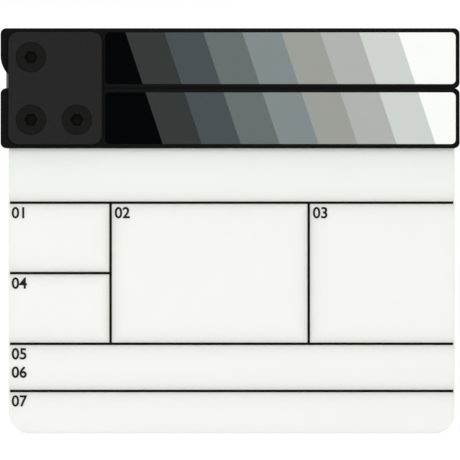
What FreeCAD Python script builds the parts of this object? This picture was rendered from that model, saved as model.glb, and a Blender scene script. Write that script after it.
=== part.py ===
import FreeCAD, Part
import math
import os

# Clapperboard: a white writing board held in the groove of a fixed black stick, and a second stick that
# claps down on it, turning on a bolt between two hinge plates.
# Millimetres. X runs to the right, Y to the back and Z up. The origin is on the board's bottom edge, under
# the middle of the sticks and at half the board's thickness.

# Sticks
stick_length = 280.0
stick_height = 36.6
stick_thickness = 14.0
stick_corner_radius = 3.5
stick_edge_break = 0.35

# Board, and the groove in the lower stick that holds it
board_inset_hinge_end = 4.9
board_inset_free_end = 3.0
board_drop = 174.0
board_thickness = 4.0
board_corner_radius = 13.0
board_edge_break = 0.4
groove_roof = 8.6
groove_clearance = 0.1

# Black rules in shallow engraved lines on the board's front
rule_width = 1.5
rule_depth = 0.3
rule_fill_sink = 0.05
rule_end_margin = 0.8
foot_field_height = 25.85
lower_field_height = 28.8
column_field_height = 86.15
left_upper_field_height = 43.0
left_column_width = 62.15
right_column_width = 89.0

# Grey-step chips, laid edge to edge in a recess of each stick
step_count = 9
step_slant_degrees = 18.5
recess_from_hinge_end = 63.8
recess_end_margin = 2.35
recess_side_margin = 2.5
recess_corner_radius = 2.8
recess_depth = 0.7
chip_thickness = 0.6
chip_clearance = 0.05

# Hinge plates
plate_thickness = 4.0
plate_corner_radius = 6.3
plate_edge_break = 0.8
plate_width = 57.1
plate_from_end = 4.9
plate_side_margin = 2.35
rear_plate_reach = 1.75

# Pivot and heel: the heel stays inside the circle that the clap face touches under the pivot
pivot_rise = 18.8
swing_clearance = 0.15
heel_degrees = 27.6
heel_radius = 17.0
heel_blend_radius = 6.0

# Bolts and barrel nuts
head_diameter = 18.2
head_thickness = 2.8
head_sink = 0.2
head_clearance = 0.12
barrel_diameter = 10.0
barrel_hole_clearance = 0.1
barrel_end_gap = 0.3
bolt_diameter = 8.0
bolt_length = 11.0
thread_clearance = 0.03
thread_run_out = 1.0
hex_across_flats = 7.0
hex_depth = 2.4
fixing_drop = 19.3
fixing_spacing = 28.0

# Bearing of the upper stick, which is thinner than the lower one by its washers and their play
bush_wall = 1.5
bush_running_clearance = 0.03
press_clearance = 0.02
bush_end_gap = 0.1
washer_diameter = 16.0
washer_thickness = 0.5
washer_play = 0.1

# Countersunk screws that hold the board in its groove
screw_count = 2
screw_spacing = 100.0
screw_head_diameter = 8.0
screw_diameter = 4.0
screw_length = 8.5
screw_sink = 0.1
screw_clearance = 0.1
screw_hex_across_flats = 2.5
screw_hex_depth = 1.8
screw_end_margin = 20.0

# Closing magnets in the clap faces
magnet_length = 10.0
magnet_width = 5.0
magnet_depth = 4.0
magnet_sink = 0.2
magnet_from_end = 16.0

# Levels and places that follow
half_length = stick_length / 2
half_thickness = stick_thickness / 2
lower_bottom = board_drop
clap_level = lower_bottom + stick_height
upper_top = clap_level + stick_height
upper_half_thickness = half_thickness - washer_thickness - washer_play
board_left = -half_length + board_inset_hinge_end
board_right = half_length - board_inset_free_end
groove_depth = stick_height - groove_roof
board_top = lower_bottom + groove_depth - groove_clearance
board_front = -board_thickness / 2
pivot_x = -half_length + pivot_rise - swing_clearance
pivot_z = clap_level + pivot_rise
fixing_z = clap_level - fixing_drop
fixing_places = [(pivot_x, fixing_z), (pivot_x + fixing_spacing, fixing_z)]
bolt_places = [(pivot_x, pivot_z)] + fixing_places
plate_left = -half_length + plate_from_end
plate_right = plate_left + plate_width
recess_left = -half_length + recess_from_hinge_end
recess_right = half_length - recess_end_margin
head_seat = plate_thickness - head_sink - head_thickness
magnet_x = half_length - magnet_from_end
head_radius = head_diameter / 2
barrel_radius = barrel_diameter / 2
bolt_radius = bolt_diameter / 2
barrel_hole_radius = barrel_radius + barrel_hole_clearance
bush_inner_radius = barrel_radius + bush_running_clearance
bush_outer_radius = bush_inner_radius + bush_wall
screw_places = [(half_length - screw_end_margin - i * screw_spacing, fixing_z) for i in range(screw_count)]

FRONT = FreeCAD.Vector(0, -1, 0)
BACK = FreeCAD.Vector(0, 1, 0)
UP = FreeCAD.Vector(0, 0, 1)
DOWN = FreeCAD.Vector(0, 0, -1)


def rounded_wire(corners, y):
    """Closed outline at depth y through corners (x, z, radius), each rounded by a tangent arc."""
    points = [FreeCAD.Vector(x, y, z) for x, z, radius in corners]
    edges = []
    starts = []
    ends = []
    for i, (x, z, radius) in enumerate(corners):
        to_last = (points[i - 1] - points[i]).normalize()
        to_next = (points[(i + 1) % len(points)] - points[i]).normalize()
        half_angle = to_last.getAngle(to_next) / 2
        setback = radius / math.tan(half_angle)
        starts.append(points[i] + to_last * setback)
        ends.append(points[i] + to_next * setback)
        if radius > 0:
            towards_centre = (to_last + to_next).normalize()
            middle = points[i] + towards_centre * (radius / math.sin(half_angle) - radius)
            edges.append(Part.Arc(starts[i], middle, ends[i]).toShape())
    for i in range(len(points)):
        edges.append(Part.LineSegment(ends[i - 1], starts[i]).toShape())
    return Part.Wire(Part.__sortEdges__(edges))


def slab(corners, y_front, y_back):
    """Flat piece with a rounded outline, from its front face to its back face."""
    face = Part.Face(rounded_wire(corners, y_front))
    return face.extrude(BACK * (y_back - y_front))


def rectangle(left, right, bottom, top, radius):
    return [(left, bottom, radius), (right, bottom, radius), (right, top, radius), (left, top, radius)]


def outline_edges(shape, y):
    """Edges of a slab that lie in the plane at depth y."""
    return [edge for edge in shape.Edges if all(abs(vertex.Y - y) < 1e-6 for vertex in edge.Vertexes)]


def turned(profile, x, y, z, axis):
    """Turned piece: a closed profile of (radius, height) points, spun about an axis through a point."""
    points = [FreeCAD.Vector(radius, 0, height) for radius, height in profile]
    face = Part.Face(Part.makePolygon(points + points[:1]))
    shape = face.revolve(FreeCAD.Vector(0, 0, 0), UP, 360)
    shape.Placement = FreeCAD.Placement(FreeCAD.Vector(x, y, z), FreeCAD.Rotation(UP, axis))
    return shape


def disc(radius, height, x, y, z, axis):
    return turned([(0, 0), (radius, 0), (radius, height), (0, height)], x, y, z, axis)


def ring(inner_radius, outer_radius, height, x, y, z, axis):
    profile = [(inner_radius, 0), (outer_radius, 0), (outer_radius, height), (inner_radius, height)]
    return turned(profile, x, y, z, axis)


def hex_socket(across_flats, depth, x, y, z, axis):
    """Tool for a hex socket that opens towards axis at a point, with corners left and right."""
    corner_radius = across_flats / math.sqrt(3)
    corners = []
    for i in range(6):
        angle = math.radians(60 * i)
        corners.append((x + corner_radius * math.cos(angle), z + corner_radius * math.sin(angle), 0))
    return Part.Face(rounded_wire(corners, y)).extrude(axis * -depth)


def bolt(x, z):
    """Flat-headed bolt from the front, its head sunk in the front plate."""
    shank_radius = bolt_radius - thread_clearance
    profile = [
        (0, -bolt_length),
        (shank_radius, -bolt_length),
        (shank_radius, 0),
        (head_radius, 0),
        (head_radius, head_thickness),
        (0, head_thickness),
    ]
    seat = -half_thickness - head_seat
    shape = turned(profile, x, seat, z, FRONT)
    return shape.cut(hex_socket(hex_across_flats, hex_depth, x, seat - head_thickness, z, FRONT))


def barrel_nut(x, z):
    """Barrel nut from the back: a head like the bolt's, and a barrel that the bolt screws into."""
    barrel_length = stick_thickness + 2 * head_seat - barrel_end_gap
    thread_depth = bolt_length - barrel_end_gap + thread_run_out
    profile = [
        (0, thread_depth - barrel_length),
        (bolt_radius, thread_depth - barrel_length),
        (bolt_radius, -barrel_length),
        (barrel_radius, -barrel_length),
        (barrel_radius, 0),
        (head_radius, 0),
        (head_radius, head_thickness),
        (0, head_thickness),
    ]
    seat = half_thickness + head_seat
    shape = turned(profile, x, seat, z, BACK)
    return shape.cut(hex_socket(hex_across_flats, hex_depth, x, seat + head_thickness, z, BACK))


def hinge_plate(inner_face, outward, reach):
    """Rounded plate with its outer edge broken and three counterbored holes; reach widens it at both ends."""
    outer_face = inner_face + outward.y * plate_thickness
    bottom = lower_bottom + plate_side_margin
    top = upper_top - plate_side_margin
    corners = rectangle(plate_left - reach, plate_right + reach, bottom, top, plate_corner_radius)
    shape = slab(corners, inner_face, outer_face)
    shape = shape.makeChamfer(plate_edge_break, outline_edges(shape, outer_face))
    counterbore_radius = head_radius + head_clearance
    for x, z in bolt_places:
        shape = shape.cut(disc(barrel_hole_radius, plate_thickness, x, inner_face, z, outward))
        seat = inner_face + outward.y * head_seat
        shape = shape.cut(disc(counterbore_radius, plate_thickness, x, seat, z, outward))
    return shape


def chip_recess(bottom, clearance, y_front, y_back):
    """Block that fills a stick's chip recess, less a clearance all round."""
    corners = rectangle(
        recess_left + clearance,
        recess_right - clearance,
        bottom + recess_side_margin + clearance,
        bottom + stick_height - recess_side_margin - clearance,
        recess_corner_radius - clearance,
    )
    return slab(corners, y_front, y_back)


def grey_chips(bottom, stick_front):
    """Slanted chips of one stick. Both sticks share the slanted lines, evenly spaced at the clap level."""
    back = stick_front + recess_depth
    strip = chip_recess(bottom, chip_clearance, back - chip_thickness, back)
    pitch = (recess_right - recess_left) / step_count
    slant = math.tan(math.radians(step_slant_degrees))
    top = bottom + stick_height
    chips = []
    for i in range(step_count):
        left = recess_left + i * pitch
        right = left + pitch
        left_overrun = stick_height if i == 0 else 0
        right_overrun = stick_height if i == step_count - 1 else 0
        corners = [
            (left - left_overrun + (clap_level - bottom) * slant, bottom, 0),
            (right + right_overrun + (clap_level - bottom) * slant, bottom, 0),
            (right + right_overrun + (clap_level - top) * slant, top, 0),
            (left - left_overrun + (clap_level - top) * slant, top, 0),
        ]
        chips.append(strip.common(slab(corners, back - 2 * chip_thickness, back + chip_thickness)))
    return chips


def rule_block(y_front, y_back):
    """The ruled lines as one block: four level rules, and two upright ones between the top and third."""
    foot_level = foot_field_height
    lower_level = foot_level + lower_field_height
    top_level = lower_level + column_field_height
    split_level = top_level - left_upper_field_height
    left_end = board_left + rule_end_margin
    right_end = board_right - rule_end_margin
    left_upright = board_left + left_column_width
    right_upright = board_right - right_column_width
    half_rule = rule_width / 2
    blocks = []
    for level, end in (
        (foot_level, right_end),
        (lower_level, right_end),
        (split_level, left_upright),
        (top_level, right_end),
    ):
        corners = rectangle(left_end, end, level - half_rule, level + half_rule, 0)
        blocks.append(slab(corners, y_front, y_back))
    for upright in (left_upright, right_upright):
        corners = rectangle(upright - half_rule, upright + half_rule, lower_level, top_level, 0)
        blocks.append(slab(corners, y_front, y_back))
    return blocks[0].multiFuse(blocks[1:]).removeSplitter()


def slate_board():
    corners = [
        (board_left, 0, board_corner_radius),
        (board_right, 0, board_corner_radius),
        (board_right, board_top, 0),
        (board_left, board_top, 0),
    ]
    shape = slab(corners, board_front, -board_front)
    edges = outline_edges(shape, board_front) + outline_edges(shape, -board_front)
    shape = shape.makeChamfer(board_edge_break, edges)
    for x, z in fixing_places:
        shape = shape.cut(disc(barrel_hole_radius, board_thickness, x, board_front, z, BACK))
    for x, z in screw_places:
        hole_radius = screw_diameter / 2 + screw_clearance
        shape = shape.cut(disc(hole_radius, board_thickness, x, board_front, z, BACK))
    return shape.cut(rule_block(board_front - rule_depth, board_front + rule_depth))


def field_rules():
    return rule_block(board_front + rule_fill_sink, board_front + rule_depth)


def stick_blank(corners, half_depth):
    """Stick with a rounded outline and broken front and back edges."""
    shape = slab(corners, -half_depth, half_depth)
    edges = outline_edges(shape, -half_depth) + outline_edges(shape, half_depth)
    return shape.makeChamfer(stick_edge_break, edges)


def magnet_block(into, start, clearance):
    """Block in the clap face, from a depth to the floor of the magnet's pocket, wider by a clearance."""
    levels = [clap_level + into.z * depth for depth in (start, magnet_sink + magnet_depth)]
    reach = magnet_length / 2 + clearance
    half_width = magnet_width / 2 + clearance
    corners = rectangle(magnet_x - reach, magnet_x + reach, min(levels), max(levels), 0)
    return slab(corners, -half_width, half_width)


def magnet_pocket(into):
    return magnet_block(into, 0, press_clearance)


def magnet(into):
    return magnet_block(into, magnet_sink, 0)


def board_groove():
    """Groove for the board, closed at both ends."""
    left = board_left - groove_clearance
    right = board_right + groove_clearance
    half_width = board_thickness / 2 + groove_clearance
    corners = rectangle(left, right, lower_bottom, lower_bottom + groove_depth, 0)
    return slab(corners, -half_width, half_width)


def countersunk_screw(x, z, clearance, rise):
    """Countersunk screw from the back. With a clearance, and risen past the stick, it cuts its own hole."""
    radius = screw_diameter / 2 + clearance
    head = screw_head_diameter / 2 + clearance
    profile = [
        (0, -screw_length - clearance),
        (radius, -screw_length - clearance),
        (radius, radius - head),
        (head + rise, rise),
        (0, rise),
    ]
    return turned(profile, x, half_thickness - screw_sink, z, BACK)


def board_screw(x, z):
    shape = countersunk_screw(x, z, 0, 0)
    mouth = half_thickness - screw_sink
    return shape.cut(hex_socket(screw_hex_across_flats, screw_hex_depth, x, mouth, z, BACK))


def lower_stick():
    corners = rectangle(-half_length, half_length, lower_bottom, clap_level, stick_corner_radius)
    shape = stick_blank(corners, half_thickness)
    front = -half_thickness
    shape = shape.cut(chip_recess(lower_bottom, 0, front - recess_depth, front + recess_depth))
    shape = shape.cut(board_groove())
    for x, z in fixing_places:
        shape = shape.cut(disc(barrel_hole_radius, stick_thickness, x, front, z, BACK))
    for x, z in screw_places:
        shape = shape.cut(countersunk_screw(x, z, screw_clearance, 2 * screw_sink))
    return shape.cut(magnet_pocket(DOWN))


def upper_stick():
    left = -half_length
    heel_top = clap_level + (pivot_x - left) * math.tan(math.radians(heel_degrees))
    corners = [
        (left, heel_top, heel_radius),
        (pivot_x, clap_level, heel_blend_radius),
        (half_length, clap_level, stick_corner_radius),
        (half_length, upper_top, stick_corner_radius),
        (left, upper_top, stick_corner_radius),
    ]
    depth = upper_half_thickness
    shape = stick_blank(corners, depth)
    shape = shape.cut(chip_recess(clap_level, 0, -depth - recess_depth, -depth + recess_depth))
    bore_radius = bush_outer_radius + press_clearance
    shape = shape.cut(disc(bore_radius, 2 * depth, pivot_x, -depth, pivot_z, BACK))
    return shape.cut(magnet_pocket(UP))


def pivot_bush():
    half_bush = upper_half_thickness - bush_end_gap
    return ring(bush_inner_radius, bush_outer_radius, 2 * half_bush, pivot_x, -half_bush, pivot_z, BACK)


def friction_washer(side):
    seat = side.y * upper_half_thickness
    return ring(barrel_hole_radius, washer_diameter / 2, washer_thickness, pivot_x, seat, pivot_z, side)


def group(solids):
    return Part.makeCompound(solids)


pieces = {
    "slate_board": slate_board(),
    "field_rules": field_rules(),
    "lower_stick": lower_stick(),
    "upper_stick": upper_stick(),
    "front_hinge_plate": hinge_plate(-half_thickness, FRONT, 0),
    "rear_hinge_plate": hinge_plate(half_thickness, BACK, rear_plate_reach),
    "pivot_bolt": bolt(pivot_x, pivot_z),
    "pivot_barrel_nut": barrel_nut(pivot_x, pivot_z),
    "hinge_bolts": group([bolt(x, z) for x, z in fixing_places]),
    "hinge_barrel_nuts": group([barrel_nut(x, z) for x, z in fixing_places]),
    "pivot_bush": pivot_bush(),
    "front_friction_washer": friction_washer(FRONT),
    "rear_friction_washer": friction_washer(BACK),
    "board_screws": group([board_screw(x, z) for x, z in screw_places]),
    "lower_magnet": magnet(DOWN),
    "upper_magnet": magnet(UP),
}
for number, chip in enumerate(grey_chips(lower_bottom, -half_thickness), 1):
    pieces["lower_grey_%d" % number] = chip
for number, chip in enumerate(grey_chips(clap_level, -upper_half_thickness), 1):
    pieces["upper_grey_%d" % number] = chip

os.makedirs("parts", exist_ok=True)
for name, shape in pieces.items():
    shape.exportStep("parts/%s.step" % name)
    print(name, len(shape.Solids), shape.isValid(), round(shape.Volume, 1))
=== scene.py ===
import math

import bmesh
import bpy
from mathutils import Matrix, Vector


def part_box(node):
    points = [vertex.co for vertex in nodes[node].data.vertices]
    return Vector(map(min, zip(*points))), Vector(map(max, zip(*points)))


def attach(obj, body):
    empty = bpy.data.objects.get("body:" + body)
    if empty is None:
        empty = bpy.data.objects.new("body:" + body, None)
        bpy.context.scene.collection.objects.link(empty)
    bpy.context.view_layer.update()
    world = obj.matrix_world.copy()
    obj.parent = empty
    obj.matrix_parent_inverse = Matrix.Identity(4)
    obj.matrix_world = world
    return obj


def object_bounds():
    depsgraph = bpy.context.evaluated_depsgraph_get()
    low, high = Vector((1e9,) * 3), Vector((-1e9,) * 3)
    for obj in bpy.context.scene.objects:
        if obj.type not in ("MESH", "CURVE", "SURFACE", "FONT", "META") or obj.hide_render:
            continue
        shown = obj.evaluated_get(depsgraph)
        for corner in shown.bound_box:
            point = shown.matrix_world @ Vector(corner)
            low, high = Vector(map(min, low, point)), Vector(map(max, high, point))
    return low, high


# Clapperboard: finishes for the solids, the field numbers, and a plain white studio. Metres.

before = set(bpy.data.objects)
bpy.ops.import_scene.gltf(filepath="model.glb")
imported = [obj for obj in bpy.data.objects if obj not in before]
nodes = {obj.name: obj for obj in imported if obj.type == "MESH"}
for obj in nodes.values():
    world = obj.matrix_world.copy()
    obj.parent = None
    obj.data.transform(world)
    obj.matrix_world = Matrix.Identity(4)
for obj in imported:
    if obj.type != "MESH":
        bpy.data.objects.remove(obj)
cad_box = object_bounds()

MM = 0.001
X_AXIS = 0
Z_AXIS = 2
WHITE = (1.0, 1.0, 1.0, 1.0)

# Camera: a long lens square to the front, framed as the photograph is
CAMERA_DISTANCE = 5.0
CAMERA_X = -0.05 * MM
CAMERA_HEIGHT = 124.13 * MM
FRAME_WIDTH = 280.53 * MM
SENSOR_WIDTH = 36.0
CLIP_END = 100.0

# Surroundings: their level to the eye, and as light on the object
WORLD_SEEN = 1.0
WORLD_DIFFUSE = 0.73

# Soft lamps in front of the object, as (name, place, size, power)
LAMPS = (
    ("key", (-0.9, -2.2, 0.8), 1.6, 13.0),
    ("fill", (1.1, -2.2, 0.5), 1.4, 6.5),
)

# White floor: what it lacks of white under the surroundings alone is added for the eye only
FLOOR_SIZE = 60.0
FLOOR_DROP = 0.05 * MM
FLOOR_ALBEDO = 0.96
FLOOR_ROUGHNESS = 0.9
FLOOR_GLOW = WORLD_SEEN - FLOOR_ALBEDO * WORLD_DIFFUSE

# A face of the rules' mesh that faces an axis this squarely and is this long is a long side of a rule
RULE_FACING = 0.9
RULE_LEAST_LENGTH = 10.0 * MM

# Numbers in the fields: each is this far in from the left and under a rule, with lines this far apart
NUMBER_HEIGHT = 7.0 * MM
NUMBER_THICKNESS = 0.04 * MM
NUMBER_WEIGHT = 0.02
NUMBER_INDENT = 1.8 * MM
NUMBER_DROP = 1.85 * MM
NUMBER_LINE = 11.2 * MM
NUMBER_WELD = NUMBER_THICKNESS / 10

# Masks run from 0 to 1, read from noise, from how far a rounded normal leaves a flat, and from openness
MASK = (0.0, 1.0)
NOISE_RANGE = (0.3, 0.7)
EDGE_RANGE = (1.0, 0.85)
HOLLOW_RANGE = (0.92, 0.62)
BEVEL_SAMPLES = 6
HOLLOW_SAMPLES = 8

# A distance beyond any on the object, and the decimals of a metre to which places are compared
FAR = 1.0
DECIMALS = 5

# Sockets of a mix node that take and give colours
MIX_FACTOR = 0
MIX_FIRST = 6
MIX_SECOND = 7
MIX_RESULT = 2

# Display colours of the grey steps, from black to white
GREY_STEPS = (
    (0.004, 0.008, 0.014),
    (0.212, 0.227, 0.222),
    (0.290, 0.316, 0.327),
    (0.405, 0.438, 0.432),
    (0.510, 0.545, 0.550),
    (0.615, 0.620, 0.598),
    (0.692, 0.700, 0.688),
    (0.807, 0.832, 0.805),
    (0.978, 0.985, 0.968),
)


def linear(colour):
    """Display colour, which is sRGB, to the linear colour that shaders take."""
    return tuple(c / 12.92 if c <= 0.04045 else ((c + 0.055) / 1.055) ** 2.4 for c in colour)


def scaled(colour, factor):
    """A colour made darker or lighter by a factor."""
    return tuple(c * factor for c in colour)


def add(name, data):
    """A new object in the scene."""
    piece = bpy.data.objects.new(name, data)
    bpy.context.scene.collection.objects.link(piece)
    return piece


def make(tree, kind, inputs=None, **settings):
    """A shader node with its settings, and its inputs given as values or as sockets to link."""
    node = tree.nodes.new(kind)
    for name, value in settings.items():
        setattr(node, name, value)
    for name, value in (inputs or {}).items():
        if isinstance(value, bpy.types.NodeSocket):
            tree.links.new(value, node.inputs[name])
        else:
            node.inputs[name].default_value = value
    return node


def new_material(name, constants):
    """A material with one Principled shader, whose constant inputs are set on its own sockets."""
    material = bpy.data.materials.new(name)
    material.use_nodes = True
    tree = material.node_tree
    shader = tree.nodes["Principled BSDF"]
    for key, value in constants.items():
        shader.inputs[key].default_value = value
    return material, tree, shader


def connect(tree, shader, colour, roughness, normal=None):
    """Links what varies over the surface to its shader."""
    tree.links.new(colour, shader.inputs["Base Color"])
    tree.links.new(roughness, shader.inputs["Roughness"])
    if normal:
        tree.links.new(normal, shader.inputs["Normal"])


def calculate(tree, operation, first, second):
    """The result of an operation on two numbers."""
    return make(tree, "ShaderNodeMath", {0: first, 1: second}, operation=operation).outputs["Value"]


def vectors(tree, operation, first, second):
    """The node of an operation on two vectors."""
    return make(tree, "ShaderNodeVectorMath", {0: first, 1: second}, operation=operation)


def remap(tree, value, source, target):
    """A value moved from one range to another, and kept within it."""
    inputs = {
        "Value": value,
        "From Min": source[0],
        "From Max": source[1],
        "To Min": target[0],
        "To Max": target[1],
    }
    return make(tree, "ShaderNodeMapRange", inputs).outputs["Result"]


def mix(tree, factor, first, second):
    """A colour between two linear colours, or between sockets."""
    inputs = {MIX_FACTOR: factor}
    for socket, colour in ((MIX_FIRST, first), (MIX_SECOND, second)):
        inputs[socket] = colour if isinstance(colour, bpy.types.NodeSocket) else (*colour, 1.0)
    return make(tree, "ShaderNodeMix", inputs, data_type="RGBA").outputs[MIX_RESULT]


def place(tree):
    """A point's place on the object."""
    return make(tree, "ShaderNodeTexCoord").outputs["Object"]


def noise(tree, size, stretch=(1, 1, 1), detail=4.0):
    """Noise whose features are about this size, stretched along the object's own axes."""
    scale = tuple(1 / (size * s) for s in stretch)
    moved = make(tree, "ShaderNodeMapping", {"Vector": place(tree), "Scale": scale}).outputs["Vector"]
    inputs = {"Vector": moved, "Scale": 1.0, "Detail": detail}
    return make(tree, "ShaderNodeTexNoise", inputs).outputs["Fac"]


def rings(tree, axes, pitch, detail=2.0):
    """Tool marks in rings of about this pitch round the nearest of some axes, given as (x, z)."""
    flat = vectors(tree, "MULTIPLY", place(tree), (1, 0, 1)).outputs["Vector"]
    nearest = FAR
    for x, z in axes:
        reach = vectors(tree, "DISTANCE", flat, (x, 0, z)).outputs["Value"]
        nearest = calculate(tree, "MINIMUM", reach, nearest)
    inputs = {"W": calculate(tree, "DIVIDE", nearest, pitch), "Scale": 1.0, "Detail": detail}
    return make(tree, "ShaderNodeTexNoise", inputs, noise_dimensions="1D").outputs["Fac"]


def spread(tree, value, low=0.0, high=1.0):
    """A noise value spread over a range."""
    return remap(tree, value, NOISE_RANGE, (low, high))


def rounded(tree, radius):
    """The surface's normal, as if its edges were rounded to a radius."""
    return make(tree, "ShaderNodeBevel", {"Radius": radius}, samples=BEVEL_SAMPLES).outputs["Normal"]


def bump(tree, height, depth, rounding=0.0):
    """Relief of this depth, over edges that look rounded to a radius."""
    inputs = {"Height": height, "Distance": depth}
    if rounding:
        inputs["Normal"] = rounded(tree, rounding)
    return make(tree, "ShaderNodeBump", inputs).outputs["Normal"]


def edges(tree, radius):
    """A mask that is 1 on the piece's edges and 0 on its flats."""
    flat = make(tree, "ShaderNodeNewGeometry").outputs["Normal"]
    facing = vectors(tree, "DOT_PRODUCT", rounded(tree, radius), flat).outputs["Value"]
    return remap(tree, facing, EDGE_RANGE, MASK)


def patchy_edges(tree, radius, patch, least, most):
    """A mask of edges, by uneven amounts in patches of about this size. It carries scuffs on steel, scuffs
    and a painted highlight on lacquer, and painted shade on powder coat.
    """
    edge_amount = spread(tree, noise(tree, patch), least, most)
    return calculate(tree, "MULTIPLY", edges(tree, radius), edge_amount)


def hollows(tree, depth):
    """A mask that is 1 down in sockets and corners and 0 in the open."""
    inputs = {"Distance": depth}
    open_share = make(tree, "ShaderNodeAmbientOcclusion", inputs, samples=HOLLOW_SAMPLES).outputs["AO"]
    return remap(tree, open_share, HOLLOW_RANGE, MASK)


def beside(tree, boxes, reach):
    """A mask that is 1 against some boxes and fades with distance."""
    here = place(tree)
    nearest = FAR
    for low, high in boxes:
        offset = vectors(tree, "SUBTRACT", here, (low + high) / 2).outputs["Vector"]
        offset = vectors(tree, "ABSOLUTE", offset, (0, 0, 0)).outputs["Vector"]
        offset = vectors(tree, "SUBTRACT", offset, (high - low) / 2).outputs["Vector"]
        offset = vectors(tree, "MAXIMUM", offset, (0, 0, 0)).outputs["Vector"]
        distance = vectors(tree, "LENGTH", offset, (0, 0, 0)).outputs["Value"]
        nearest = calculate(tree, "MINIMUM", distance, nearest)
    return calculate(tree, "POWER", 1 / math.e, calculate(tree, "DIVIDE", nearest, reach))


def rule_boxes():
    """Lowest and highest corners of each ruled line, from the long sides of the rules' mesh: level lines
    from the foot up, then upright ones from the left."""
    mesh = nodes["field_rules"].data
    front, back = (corner.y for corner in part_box("field_rules"))
    boxes = []
    for across, along in ((Z_AXIS, X_AXIS), (X_AXIS, Z_AXIS)):
        sides = {}
        for face in mesh.polygons:
            corners = [mesh.vertices[index].co for index in face.vertices]
            reach = [corner[along] for corner in corners]
            if abs(face.normal[across]) > RULE_FACING and max(reach) - min(reach) > RULE_LEAST_LENGTH:
                sides.setdefault(round(corners[0][across], DECIMALS), []).extend(reach)
        levels = sorted(sides)
        for low_side, high_side in zip(levels[::2], levels[1::2]):
            reach = sides[low_side] + sides[high_side]
            low = Vector((0, front, 0))
            high = Vector((0, back, 0))
            low[across], high[across] = low_side, high_side
            low[along], high[along] = min(reach), max(reach)
            boxes.append((low, high))
    return boxes


def outside_boxes(name, axis):
    """Boxes against both ends of a node along an axis."""
    low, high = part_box(name)
    size = Vector((0, 0, 0))
    size[axis] = high[axis] - low[axis]
    return [(low - size, high - size), (low + size, high + size)]


def bolt_axes(*names):
    """Axes of round heads in a row, as (x, z): one at each end of a node's box."""
    axes = set()
    for name in names:
        low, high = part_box(name)
        radius = (high.z - low.z) / 2
        for x in (low.x + radius, high.x - radius):
            axes.add((round(x, DECIMALS), round(low.z + radius, DECIMALS)))
    return sorted(axes)


def white_acrylic():
    """Opal acrylic: light spreads inside the sheet, but less far at its cut foot. Painted shade darkens
    its colour for some way round the rules, along its sides and, tinted green, under the lower stick.
    Wiping has left a faint haze and fine marks."""
    clean = (0.908, 0.907, 0.894)
    hazy = (0.904, 0.905, 0.884)
    smeared = scaled(clean, 0.985)
    light_reach = 2.2 * MM
    foot_reach = 1.5 * MM
    # Painted shade on the sheet: the boxes that cast each, how far it reaches, its strength there and its
    # colour
    shades = (
        (rule_boxes(), 3.0 * MM, 0.175, (0.13, 0.13, 0.0)),
        (outside_boxes("slate_board", X_AXIS), 2.0 * MM, 0.075, (0.0, 0.0, 0.0)),
        ([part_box("lower_stick")], 30.0 * MM, 0.07, (0.0, 0.40, 0.0)),
    )
    constants = {
        "IOR": 1.49,
        "Subsurface Weight": 1.0,
        "Subsurface Radius": (1.0, 1.0, 0.97),
    }
    material, tree, shader = new_material("white_acrylic", constants)
    foot = beside(tree, outside_boxes("slate_board", Z_AXIS), foot_reach)
    light_share = calculate(tree, "SUBTRACT", 1.0, foot)
    light_depth = calculate(tree, "MULTIPLY", light_share, light_reach)
    tree.links.new(light_depth, shader.inputs["Subsurface Scale"])
    haze = spread(tree, noise(tree, 60 * MM))
    smears = spread(tree, noise(tree, 14 * MM, stretch=(6, 1, 1), detail=6.0), 0.0, 0.2)
    colour = mix(tree, haze, clean, hazy)
    colour = mix(tree, smears, colour, smeared)
    # Each painted shade darkens the colour towards its boxes and fades with distance
    for boxes, reach, strength, tint in shades:
        shade = calculate(tree, "MULTIPLY", beside(tree, boxes, reach), strength)
        colour = mix(tree, shade, colour, tint)
    roughness = spread(tree, noise(tree, 9 * MM, stretch=(5, 1, 1), detail=6.0), 0.29, 0.37)
    marks = noise(tree, 0.5 * MM, stretch=(14, 1, 1), detail=2.0)
    connect(tree, shader, colour, roughness, bump(tree, marks, depth=0.002 * MM))
    return material


def black_lacquer():
    """Black lacquer over straight-grained wood: the grain shows as slight relief, and its edges are
    lighter in patches, partly scuffed and partly a painted highlight.
    """
    deep = (0.0044, 0.0044, 0.0045)
    thin = (0.0058, 0.0057, 0.0056)
    # Edge colour: scuffed lacquer, lifted further as a painted highlight
    edge_colour = (0.0110, 0.0107, 0.0104)
    material, tree, shader = new_material("black_lacquer", {"Specular IOR Level": 0.03})
    grain = noise(tree, 0.7 * MM, stretch=(45, 1, 1), detail=5.0)
    edge_amount = patchy_edges(tree, radius=0.5 * MM, patch=6 * MM, least=0.3, most=0.9)
    colour = mix(tree, spread(tree, grain), deep, thin)
    # Lighter edges: partly scuffed, partly a painted highlight that also evens out the shade in the seam
    # between the sticks
    colour = mix(tree, edge_amount, colour, edge_colour)
    roughness = spread(tree, noise(tree, 8 * MM, stretch=(4, 1, 1)), 0.36, 0.5)
    relief = bump(tree, grain, depth=0.012 * MM, rounding=0.7 * MM)
    connect(tree, shader, colour, roughness, relief)
    return material


def grey_step(number, display_colour):
    """Printed chip of one grey step: even ink with a fine mottle under a satin film."""
    printed = linear(display_colour)
    pale = scaled(printed, 1.02)
    dark = scaled(printed, 0.98)
    material, tree, shader = new_material("grey_step_%d" % number, {"Specular IOR Level": 0.012})
    mottle = spread(tree, noise(tree, 0.45 * MM, detail=3.0))
    patches = spread(tree, noise(tree, 18 * MM), 0.0, 0.5)
    colour = mix(tree, mottle, pale, dark)
    colour = mix(tree, patches, colour, dark)
    roughness = spread(tree, noise(tree, 5 * MM), 0.34, 0.46)
    relief = bump(tree, noise(tree, 0.8 * MM, detail=2.0), depth=0.003 * MM)
    connect(tree, shader, colour, roughness, relief)
    return material


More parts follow.
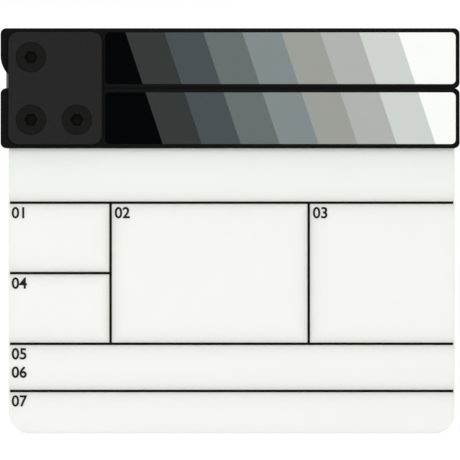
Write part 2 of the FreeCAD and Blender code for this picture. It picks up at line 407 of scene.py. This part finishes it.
def powder_coat():
    """Dark grey powder coat with a fine pebbled texture, and painted shade that darkens its edges in
    patches.
    """
    dark = (0.014, 0.014, 0.014)
    pale = (0.018, 0.018, 0.018)
    # Edge colour: painted shade, darker than the flats
    edge_colour = (0.011, 0.011, 0.011)
    material, tree, shader = new_material("powder_coat", {"Specular IOR Level": 0.06})
    pebble = noise(tree, 0.42 * MM, detail=2.0)
    edge_amount = patchy_edges(tree, radius=0.5 * MM, patch=4 * MM, least=0.1, most=0.5)
    colour = mix(tree, spread(tree, pebble), dark, pale)
    # Painted shade: the edges are darker in patches, as if turned from the light
    colour = mix(tree, edge_amount, colour, edge_colour)
    roughness = spread(tree, noise(tree, 3 * MM), 0.5, 0.64)
    connect(tree, shader, colour, roughness, bump(tree, pebble, depth=0.02 * MM))
    return material


def satin_metal():
    """Grey anodised aluminium with a lengthwise brushed grain."""
    dark = (0.088, 0.088, 0.089)
    pale = (0.132, 0.132, 0.133)
    material, tree, shader = new_material("satin_metal", {"Metallic": 1.0})
    brushed = noise(tree, 0.18 * MM, stretch=(90, 1, 1), detail=3.0)
    colour = mix(tree, spread(tree, brushed), dark, pale)
    roughness = spread(tree, noise(tree, 5 * MM, stretch=(5, 1, 1)), 0.32, 0.44)
    relief = bump(tree, brushed, depth=0.004 * MM, rounding=0.6 * MM)
    connect(tree, shader, colour, roughness, relief)
    return material


def black_steel():
    """Black oxide on turned steel: rings of the tool, edges scuffed thin, and painted shade darkening
    the sockets.
    """
    dark = (0.0074, 0.0074, 0.0066)
    pale = (0.0094, 0.0094, 0.0085)
    edge_colour = (0.0125, 0.0123, 0.0114)
    # Socket colour: painted shade for the dark down in the sockets
    socket_shade = (0.0034, 0.0034, 0.0028)
    material, tree, shader = new_material("black_steel", {"Metallic": 1.0})
    turned = rings(tree, bolt_axes("pivot_bolt", "hinge_bolts", "board_screws"), pitch=0.22 * MM)
    edge_amount = patchy_edges(tree, radius=0.25 * MM, patch=1.2 * MM, least=0.0, most=0.5)
    colour = mix(tree, spread(tree, noise(tree, 1.6 * MM)), dark, pale)
    colour = mix(tree, edge_amount, colour, edge_colour)
    # Painted shade, darker down in the sockets and corners by how little sky they see
    colour = mix(tree, hollows(tree, depth=6 * MM), colour, socket_shade)
    roughness = spread(tree, turned, 0.36, 0.5)
    relief = bump(tree, turned, depth=0.004 * MM, rounding=0.25 * MM)
    connect(tree, shader, colour, roughness, relief)
    return material


def ink(name, colour):
    """Matt black ink with slightly uneven cover."""
    thin = scaled(colour, 1.5)
    material, tree, shader = new_material(name, {"Specular IOR Level": 0.03})
    cover = spread(tree, noise(tree, 0.6 * MM))
    roughness = spread(tree, noise(tree, 0.8 * MM), 0.5, 0.7)
    connect(tree, shader, mix(tree, cover, colour, thin), roughness)
    return material


def turned_metal(name, colour, least_roughness, most_roughness):
    """Bright turned metal with fine tool marks and slight tarnish."""
    tarnished = scaled(colour, 0.8)
    material, tree, shader = new_material(name, {"Metallic": 1.0})
    tarnish = spread(tree, noise(tree, 1.5 * MM))
    roughness = spread(tree, noise(tree, 0.5 * MM), least_roughness, most_roughness)
    marks = noise(tree, 0.2 * MM, stretch=(1, 8, 1), detail=2.0)
    relief = bump(tree, marks, depth=0.002 * MM)
    connect(tree, shader, mix(tree, tarnish, colour, tarnished), roughness, relief)
    return material


def nylon():
    """Natural nylon, faintly yellow and matt."""
    pale = (0.74, 0.72, 0.66)
    dark = (0.69, 0.67, 0.6)
    material, tree, shader = new_material("nylon", {"Specular IOR Level": 0.4})
    colour = mix(tree, spread(tree, noise(tree, 3 * MM)), pale, dark)
    roughness = spread(tree, noise(tree, 1 * MM), 0.42, 0.55)
    connect(tree, shader, colour, roughness)
    return material


def dress(material, *names):
    """Gives CAD nodes their finish."""
    for name in names:
        for slot in nodes[name].material_slots:
            slot.material = material


def number_mesh(number):
    """A number as a plate along X and Y, one unit tall and thick, with its top left at the origin."""
    curve = bpy.data.curves.new("number_outline", "FONT")
    curve.body = "%02d" % number
    curve.offset = NUMBER_WEIGHT
    curve.extrude = 1 / 2
    text = add("number_outline", curve)
    bpy.context.view_layer.update()
    mesh = bpy.data.meshes.new_from_object(text.evaluated_get(bpy.context.evaluated_depsgraph_get()))
    bpy.data.objects.remove(text)
    left = min(vertex.co.x for vertex in mesh.vertices)
    top = max(vertex.co.y for vertex in mesh.vertices)
    height = top - min(vertex.co.y for vertex in mesh.vertices)
    for vertex in mesh.vertices:
        x, y, z = vertex.co
        vertex.co = ((x - left) / height, (y - top) / height, z + curve.extrude)
    return mesh


def number_places():
    """Left edge and top of each number: beside the board's side or an upright, and under a level rule."""
    foot, lower, split, top, left_upright, right_upright = rule_boxes()
    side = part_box("slate_board")[0].x
    # What is to the left of each number, the rule above it, and the lines in between
    fields = (
        (side, top, 0),
        (left_upright[1].x, top, 0),
        (right_upright[1].x, top, 0),
        (side, split, 0),
        (side, lower, 0),
        (side, lower, 1),
        (side, foot, 0),
    )
    places = []
    for left, rule, line in fields:
        places.append((left + NUMBER_INDENT, rule[0].z - NUMBER_DROP - line * NUMBER_LINE))
    return places


def field_numbers(material):
    """Plain numbers printed in the top left corner of each field."""
    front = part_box("slate_board")[0].y
    for number, (left, top) in enumerate(number_places(), 1):
        mesh = number_mesh(number)
        for vertex in mesh.vertices:
            x, y, z = vertex.co
            vertex.co = (
                left + x * NUMBER_HEIGHT,
                front - z * NUMBER_THICKNESS,
                top + y * NUMBER_HEIGHT,
            )
        welded = bmesh.new()
        welded.from_mesh(mesh)
        bmesh.ops.remove_doubles(welded, verts=welded.verts, dist=NUMBER_WELD)
        welded.to_mesh(mesh)
        welded.free()
        mesh.materials.clear()
        mesh.materials.append(material)
        piece = add("field_number_%d" % number, mesh)
        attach(piece, "slate")


def finishes():
    """Finishes of the CAD nodes, and the printed numbers."""
    dress(white_acrylic(), "slate_board")
    dress(black_lacquer(), "lower_stick", "upper_stick")
    dress(powder_coat(), "front_hinge_plate")
    dress(satin_metal(), "rear_hinge_plate")
    dress(
        black_steel(),
        "pivot_bolt",
        "pivot_barrel_nut",
        "hinge_bolts",
        "hinge_barrel_nuts",
        "board_screws",
    )
    brass = turned_metal("bearing_brass", (0.62, 0.44, 0.18), least_roughness=0.28, most_roughness=0.43)
    nickel = turned_metal("magnet_nickel", (0.62, 0.6, 0.56), least_roughness=0.2, most_roughness=0.35)
    dress(brass, "pivot_bush")
    dress(nickel, "lower_magnet", "upper_magnet")
    dress(nylon(), "front_friction_washer", "rear_friction_washer")
    for number, display_colour in enumerate(GREY_STEPS, 1):
        dress(grey_step(number, display_colour), "lower_grey_%d" % number, "upper_grey_%d" % number)
    dress(ink("rule_ink", colour=(0.0050, 0.0048, 0.0014)), "field_rules")
    field_numbers(ink("number_ink", colour=(0.016, 0.015, 0.009)))


def seen_directly(tree):
    """1 for rays from the camera and in reflections and glass, 0 for light that falls on the object."""
    path = make(tree, "ShaderNodeLightPath").outputs
    seen = calculate(tree, "MAXIMUM", path["Is Camera Ray"], path["Is Glossy Ray"])
    return calculate(tree, "MAXIMUM", seen, path["Is Transmission Ray"])


def surroundings():
    """White all round to the eye, and a little less bright as light on the object."""
    world = bpy.data.worlds.new("studio")
    bpy.context.scene.world = world
    world.use_nodes = True
    tree = world.node_tree
    level = remap(tree, seen_directly(tree), MASK, (WORLD_DIFFUSE, WORLD_SEEN))
    background = tree.nodes["Background"]
    background.inputs["Color"].default_value = WHITE
    tree.links.new(level, background.inputs["Strength"])


def floor():
    """White floor that runs into the white surroundings and keeps the object's shadow."""
    half = FLOOR_SIZE / 2
    corners = [(-half, -half), (half, -half), (half, half), (-half, half)]
    mesh = bpy.data.meshes.new("floor")
    mesh.from_pydata([(x, y, -FLOOR_DROP) for x, y in corners], [], [(0, 1, 2, 3)])
    constants = {
        "Base Color": (FLOOR_ALBEDO, FLOOR_ALBEDO, FLOOR_ALBEDO, 1.0),
        "Roughness": FLOOR_ROUGHNESS,
        "Specular IOR Level": 0.0,
        "Emission Color": WHITE,
    }
    material, tree, shader = new_material("floor_paint", constants)
    glow = calculate(tree, "MULTIPLY", seen_directly(tree), FLOOR_GLOW)
    tree.links.new(glow, shader.inputs["Emission Strength"])
    mesh.materials.append(material)
    piece = add("floor", mesh)


def lamp(name, where, size, power):
    """Soft square lamp aimed at the middle of the object."""
    light = bpy.data.lights.new(name, "AREA")
    light.shape = "SQUARE"
    light.size = size
    light.energy = power
    aim = (cad_box[0] + cad_box[1]) / 2 - Vector(where)
    holder = add(name, light)
    holder.location = where
    holder.rotation_euler = aim.to_track_quat("-Z", "Y").to_euler()
    holder.visible_camera = False


def camera():
    """Long lens square to the writing side."""
    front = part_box("lower_stick")[0].y
    optics = bpy.data.cameras.new("camera")
    optics.sensor_width = SENSOR_WIDTH
    optics.lens = SENSOR_WIDTH * CAMERA_DISTANCE / FRAME_WIDTH
    optics.clip_end = CLIP_END
    holder = add("camera", optics)
    holder.location = (CAMERA_X, front - CAMERA_DISTANCE, CAMERA_HEIGHT)
    holder.rotation_euler = (math.radians(90), 0.0, 0.0)
    bpy.context.scene.camera = holder


def studio():
    """Surroundings, floor, lamps and camera."""
    surroundings()
    floor()
    for name, where, size, power in LAMPS:
        lamp(name, where, size, power)
    camera()


finishes()
studio()
bpy.context.scene.view_settings.view_transform = "Standard"
